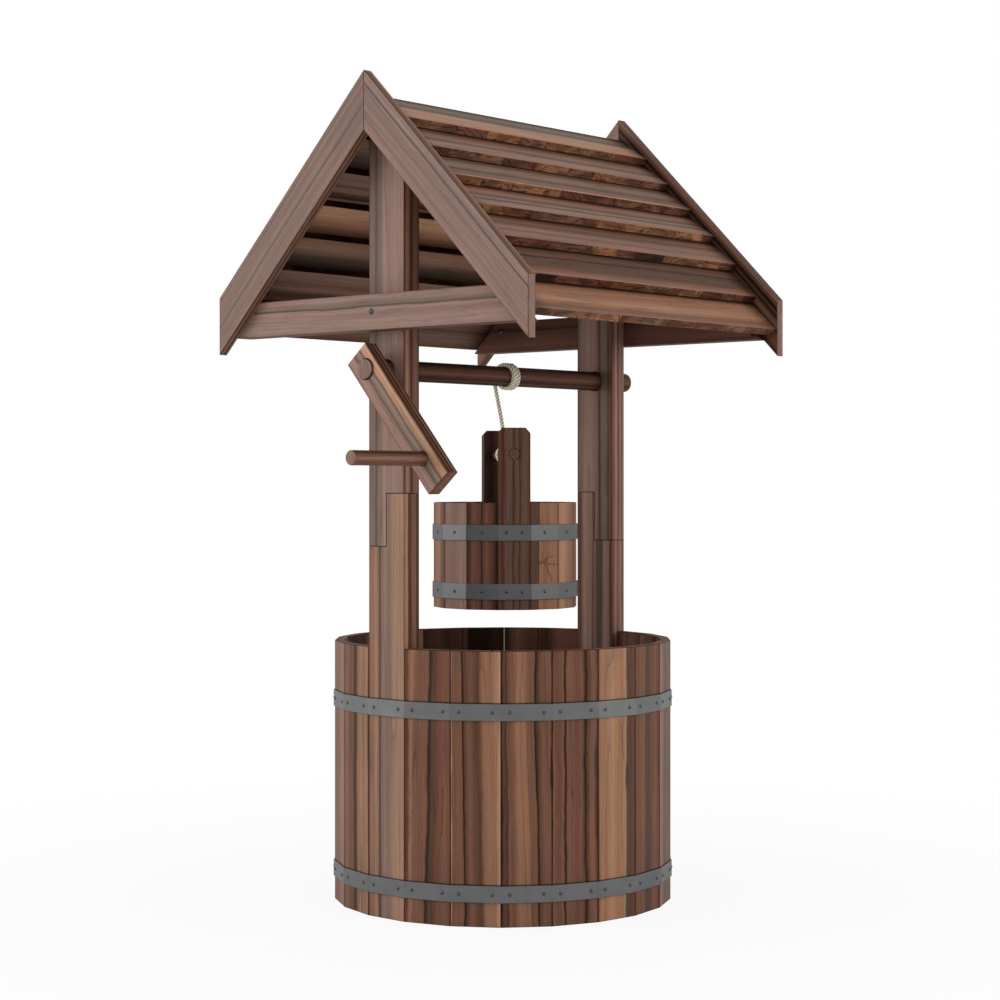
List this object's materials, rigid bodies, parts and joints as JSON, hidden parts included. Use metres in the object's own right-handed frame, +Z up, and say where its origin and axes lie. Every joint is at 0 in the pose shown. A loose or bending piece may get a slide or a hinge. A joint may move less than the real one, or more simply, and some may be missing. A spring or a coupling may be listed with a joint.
{
  "type": "wishing well planter",
  "caption": "Garden planter shaped as a wishing well: coopered barrel, two posts, slatted gable roof, and a crank windlass with a rope and a bucket.",
  "frame": {"origin": "on the ground under the middle of the whole width, crank handle included", "axes": "+Z up, +X along the ridge and the windlass away from the crank, +Y to the left of the gable that carries the crank seen from inside the well"},
  "size_m": [0.6891, 0.58, 1.1408],
  "materials": {
    "barrel_wood": "charred and brushed, satin",
    "post_wood": "charred and brushed, satin",
    "gable_wood": "charred and brushed, satin",
    "slat_wood": "charred and brushed, satin",
    "crank_wood": "charred and brushed, satin",
    "turned_wood": "charred and brushed, satin",
    "bucket_wood": "charred and brushed, satin",
    "hoop_steel": "dull grey strip",
    "rope_fibre": "matte twisted cord"
  },
  "bodies": {
    "well": {"barrel_stave_01": "barrel_wood", "barrel_stave_02": "barrel_wood", "barrel_stave_03": "barrel_wood", "barrel_stave_04": "barrel_wood", "barrel_stave_05": "barrel_wood", "barrel_stave_06": "barrel_wood", "barrel_stave_07": "barrel_wood", "barrel_stave_08": "barrel_wood", "barrel_stave_09": "barrel_wood", "barrel_stave_10": "barrel_wood", "barrel_stave_11": "barrel_wood", "barrel_stave_12": "barrel_wood", "barrel_stave_13": "barrel_wood", "barrel_stave_14": "barrel_wood", "barrel_stave_15": "barrel_wood", "barrel_stave_16": "barrel_wood", "barrel_stave_17": "barrel_wood", "barrel_stave_18": "barrel_wood", "barrel_stave_19": "barrel_wood", "barrel_stave_20": "barrel_wood", "barrel_hoop_lower": "hoop_steel", "barrel_hoop_upper": "hoop_steel", "planter_floor": "barrel_wood", "post_near_lower": "post_wood", "post_near_upper": "post_wood", "tie_near": "gable_wood", "bargeboard_near_left": "gable_wood", "bargeboard_near_right": "gable_wood", "post_far_lower": "post_wood", "post_far_upper": "post_wood", "tie_far": "gable_wood", "bargeboard_far_left": "gable_wood", "bargeboard_far_right": "gable_wood", "roof_slat_left_1": "slat_wood", "roof_slat_left_2": "slat_wood", "roof_slat_left_3": "slat_wood", "roof_slat_left_4": "slat_wood", "roof_slat_left_5": "slat_wood", "roof_slat_left_6": "slat_wood", "roof_slat_left_7": "slat_wood", "roof_slat_right_1": "slat_wood", "roof_slat_right_2": "slat_wood", "roof_slat_right_3": "slat_wood", "roof_slat_right_4": "slat_wood", "roof_slat_right_5": "slat_wood", "roof_slat_right_6": "slat_wood", "roof_slat_right_7": "slat_wood"},
    "windlass": {"windlass_shaft": "turned_wood", "crank_arm": "crank_wood", "crank_handle": "turned_wood", "rope_winding": "rope_fibre"},
    "hanging_rope": {"rope_hanging": "rope_fibre"},
    "bucket": {"bucket_staves_left": "bucket_wood", "bucket_staves_right": "bucket_wood", "bucket_ear_near": "bucket_wood", "bucket_ear_far": "bucket_wood", "bucket_bottom": "bucket_wood", "bucket_crossbar": "turned_wood", "bucket_hoop_lower": "hoop_steel", "bucket_hoop_upper": "hoop_steel"}
  },
  "joints": [
    {"name": "windlass_turn", "type": "hinge", "parent": "well", "child": "windlass", "pos_m": [0.06365, 0, 0.7408], "axis": [1, 0, 0], "range_deg": [-57, 137]},
    {"name": "bucket_lift", "type": "slide", "parent": "well", "child": "hanging_rope", "axis": [0, 0, 1], "range_m": [-0.0168, 0.0406], "deforming": ["rope_hanging"]},
    {"name": "bucket_tip", "type": "hinge", "parent": "hanging_rope", "child": "bucket", "pos_m": [0.06915, 0, 0.6285], "axis": [-0.6626, -0.749, 0], "range_deg": [-50, 50]}
  ],
  "couplings": [
    {"joint": "bucket_lift", "follows": "windlass_turn", "m_per_rad": 0.0168}
  ]
}
